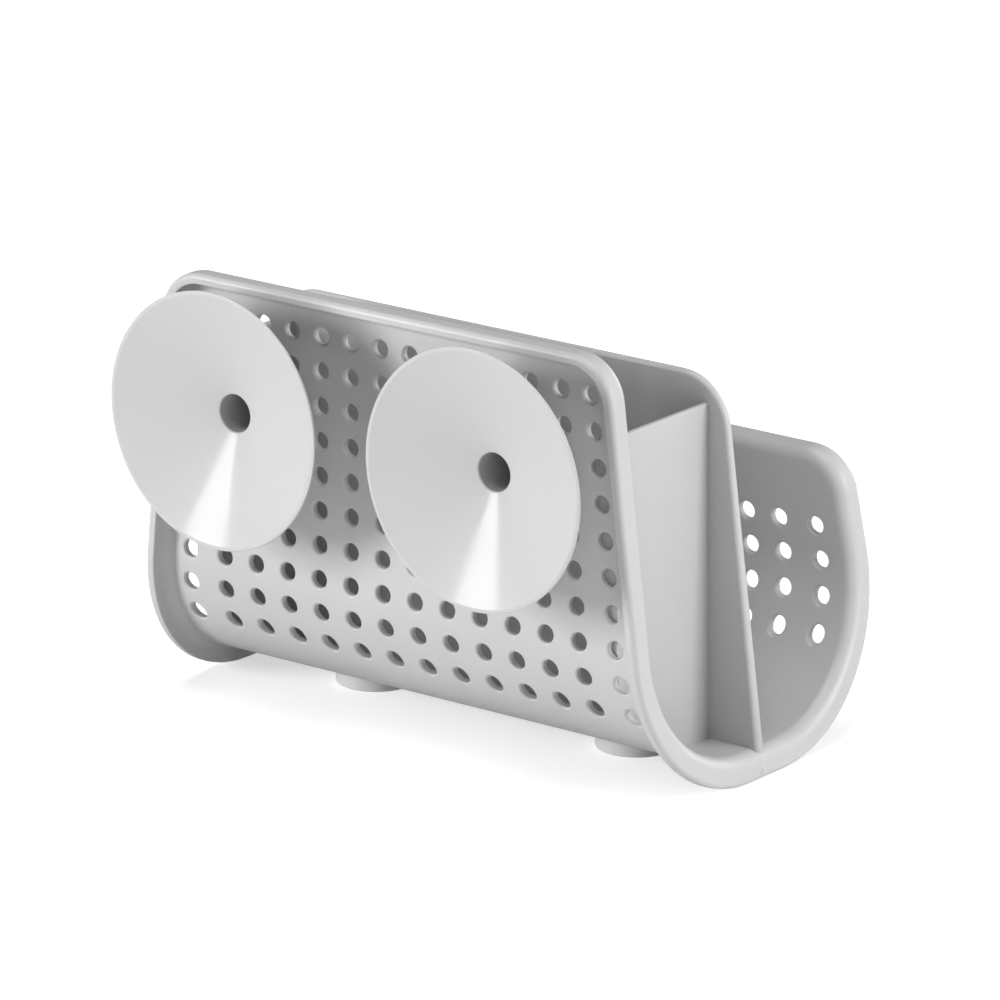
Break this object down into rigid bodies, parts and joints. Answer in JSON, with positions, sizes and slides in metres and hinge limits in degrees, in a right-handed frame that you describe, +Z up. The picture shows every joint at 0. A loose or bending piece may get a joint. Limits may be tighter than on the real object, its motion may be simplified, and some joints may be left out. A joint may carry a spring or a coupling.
{
  "type": "kitchen sink caddy",
  "caption": "Open-ended perforated trough with a tall back wall and a low front wall, an inner divider with end walls, suction cups behind and small round feet.",
  "frame": {"origin": "middle of the bounding box, on the ground under the feet", "axes": "+X to the right along the caddy for a person facing its low front wall, +Y from the low front wall to the suction cups, +Z up"},
  "size_m": [0.1466, 0.0988, 0.1036],
  "materials": {
    "grey_plastic": "satin",
    "cup_vinyl": "gloss",
    "foot_rubber": "matte"
  },
  "bodies": {
    "caddy": {"body_shell": "grey_plastic", "divider_insert": "grey_plastic", "left_foot": "foot_rubber", "right_foot": "foot_rubber"},
    "left_cup": {"left_suction_cup": "cup_vinyl"},
    "right_cup": {"right_suction_cup": "cup_vinyl"}
  },
  "joints": [
    {"name": "left_cup_turn", "type": "hinge", "parent": "caddy", "child": "left_cup", "pos_m": [-0.0364, 0.0304, 0.0744], "axis": [0, 1, 0], "continuous": true},
    {"name": "right_cup_turn", "type": "hinge", "parent": "caddy", "child": "right_cup", "pos_m": [0.0364, 0.0304, 0.0744], "axis": [0, 1, 0], "continuous": true}
  ]
}
